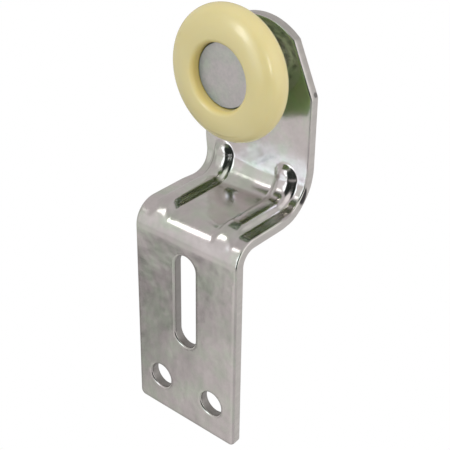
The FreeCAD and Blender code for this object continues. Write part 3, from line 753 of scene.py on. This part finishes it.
def panel(az, el, soft, soft_az=None):
    """mask of a rectangular reflector with soft edges, in degrees"""
    return studio.math("MULTIPLY", band(AZIMUTH, *az, soft_az or soft),
                       band(ELEVATION, *el, soft))


def grey(value, warm=0.0):
    return (value * (1 + warm), value, value * (1 - warm))


# below the horizon, above it, then overhead
env = studio.mix(step(ELEVATION, -20, 25), grey(0.55, warm=0.01), grey(0.62, warm=0.01))
env = studio.mix(step(ELEVATION, 50, 80), env, grey(0.70))
# what the two upright plates see: darker to the left, with a dim band
low_left = studio.mix(step(AZIMUTH, -51, -37), grey(0.44, warm=0.01), grey(0.84, warm=0.01))
high_left = studio.mix(step(AZIMUTH, -51, -37), grey(0.76, warm=0.01), grey(0.77, warm=0.01))
low_left = studio.mix(step(ELEVATION, -33, -28), low_left, high_left)
dim_band = panel(az=(-75, -41.5), el=(-34.3, -31.2), soft=1.2, soft_az=4)
low_left = studio.mix(studio.math("MULTIPLY", dim_band, 0.95), low_left, grey(0.07, warm=0.02))
env = studio.mix(panel(az=(-95, -22), el=(-70, -16), soft=5), env, low_left)
# right, right rear and low right
env = studio.mix(panel(az=(55, 135), el=(-20, 45), soft=10), env, grey(1.3))
env = studio.mix(panel(az=(120, 178), el=(-60, -10), soft=8), env, grey(0.80))
env = studio.mix(panel(az=(-30, 110), el=(-60, -24), soft=6), env, grey(0.62))
# some cards only show at a ray depth above 2.5
late_ray = studio.math("GREATER_THAN", studio.node("LightPath").outputs["Ray Depth"], 2.5)
# dark card front right, with a bright late patch high in it
dark_card = panel(az=(2, 62), el=(-22, 48), soft=3)
late_patch = studio.math("MULTIPLY", late_ray, panel(az=(-8, 25), el=(31, 52), soft=2.5))
env = studio.mix(dark_card, env,
                 studio.mix(late_patch, (0.025, 0.032, 0.028), (3.4, 3.9, 4.6)))
# front left: a grey card, a bright late one, then two bright ones
BRIGHT_CARD = (2.3, 2.5, 2.65)
env = studio.mix(panel(az=(-47, 0), el=(-14, 46), soft=6, soft_az=3), env, grey(0.85))
late_card = studio.math("MULTIPLY", late_ray, panel(az=(-40, -6), el=(-16, 27), soft=3))
env = studio.mix(late_card, env, (2.4, 2.7, 3.1))
env = studio.mix(panel(az=(-20, -2), el=(-12, 39), soft=4), env, BRIGHT_CARD)
env = studio.mix(panel(az=(-27.5, -14), el=(8, 30), soft=4), env, BRIGHT_CARD)
studio.feed(reflected.inputs[0], env)


# ------------------------------------------------------------ lamps, in metres
def soft_lamp(direction, width, height, power, distance, target):
    """rectangular lamp at a distance from target, facing it"""
    toward = Vector(direction).normalized()
    light = bpy.data.lights.new("soft", "AREA")
    light.shape = "RECTANGLE"
    light.size = width
    light.size_y = height
    light.energy = power
    lamp = bpy.data.objects.new("soft", light)
    scene.collection.objects.link(lamp)
    lamp.location = Vector(target) + toward * distance
    lamp.rotation_euler = (-toward).to_track_quat("-Z", "Y").to_euler()
    return lamp


def receivers(name, objects):
    group = bpy.data.collections.new(name)
    for ob in objects:
        group.objects.link(ob)
    return group


overhead = soft_lamp((-0.1, -0.5, 1), width=0.5, height=0.5, power=1.5, distance=0.7,
                     target=(0, 0.01, 0.035))
overhead.visible_glossy = False

# small lamp whose image lies on the front bend between the ribs
glint = soft_lamp((-0.575, -0.53, 0.62), width=0.016, height=0.026, power=0.00011,
                  distance=0.08, target=(0.0005, -0.001, 0.035))
glint.data.spread = radians(25)
glint.visible_camera = False
glint.visible_diffuse = False
# it shines only below a ray depth of 2.5, as the shelf must not throw it back
glint.data.use_nodes = True
glint_tree = glint.data.node_tree
emission = next(node for node in glint_tree.nodes if node.type == "EMISSION")
ray_path = glint_tree.nodes.new("ShaderNodeLightPath")
early_ray = glint_tree.nodes.new("ShaderNodeMath")
early_ray.operation = "LESS_THAN"
early_ray.inputs[1].default_value = 2.5
glint_tree.links.new(ray_path.outputs["Ray Depth"], early_ray.inputs[0])
glint_tree.links.new(early_ray.outputs[0], emission.inputs["Strength"])

# lamps that light the tyre alone: direction, width, height, power, highlight only
# (the last one gives diffuse light and no highlight)
WHEEL_LAMPS = (
    ((-0.265, -0.914, 0.307), 0.05, 0.09, 0.14, True),
    ((0.667, -0.712, 0.22), 0.045, 0.08, 0.13, True),
    ((0.85, -0.45, 0.25), 0.2, 0.2, 0.27, False),
)
only_wheel = receivers("only_wheel", [tyre])
hub = (0, WHEEL_Y * MM, AXLE_Z * MM)
for toward, width, height, power, highlight in WHEEL_LAMPS:
    lamp = soft_lamp(toward, width, height, power, distance=0.3, target=hub)
    lamp.visible_camera = False
    lamp.visible_diffuse = not highlight
    lamp.visible_glossy = highlight
    lamp.light_linking.receiver_collection = only_wheel

# light that finds its way into the gap behind the wheel
INNER_PIECES = ("bearing_outer_race", "bearing_inner_race_rear", "bearing_balls", "axle_spacer")
only_inner = receivers("only_inner", [frame["nodes"][name] for name in INNER_PIECES])
gap_lamp = soft_lamp((0.95, 0.05, 0.3), width=0.05, height=0.05, power=0.55, distance=0.2,
                     target=hub)
gap_lamp.visible_camera = False
gap_lamp.light_linking.receiver_collection = only_inner

# ------------------------------------------------------------- floor, in metres
FLOOR_HALF, FLOOR_GAP = 3, 0.0002
floor_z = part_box("bracket")[0].z - FLOOR_GAP
floor_mesh = bpy.data.meshes.new("floor")
floor_mesh.from_pydata([(x * FLOOR_HALF, y * FLOOR_HALF, floor_z)
                        for x, y in ((-1, -1), (1, -1), (1, 1), (-1, 1))], [], [(0, 1, 2, 3)])
floor = bpy.data.objects.new("floor", floor_mesh)
scene.collection.objects.link(floor)
# plain white, and without effect on the product
floor_material = bpy.data.materials.new("floor")
floor_graph = Graph(floor_material)
floor_out = floor_graph.node("OutputMaterial")
glow = floor_graph.node("Emission", Color=(1, 1, 1, 1))
floor_graph.feed(floor_out.inputs[0], glow.outputs[0])
floor_mesh.materials.append(floor_material)
floor.visible_glossy = False
floor.visible_diffuse = False
floor.visible_shadow = False
floor.visible_transmission = False

# ------------------------------------------------------------------- camera
CAMERA_MM = (115.610, -122.451, 131.232)
AZ, EL, TILT = radians(41.276), radians(29.338), radians(0.736)
backward = np.array([sin(AZ) * cos(EL), -cos(AZ) * cos(EL), sin(EL)])
level = np.array([cos(AZ), sin(AZ), 0.0])
upright = np.cross(backward, level)
right = level * cos(TILT) + upright * sin(TILT)
up = -level * sin(TILT) + upright * cos(TILT)
camera = bpy.data.cameras.new("view")
camera.sensor_width = 36
camera.lens = 84.73544
camera.clip_start = 0.005
view = bpy.data.objects.new("view", camera)
scene.collection.objects.link(view)
axes = zip(right, up, backward, np.array(CAMERA_MM) * MM)
view.matrix_world = Matrix((*axes, (0, 0, 0, 1)))
scene.camera = view
scene.view_settings.view_transform = "Standard"
scene.view_settings.look = "None"
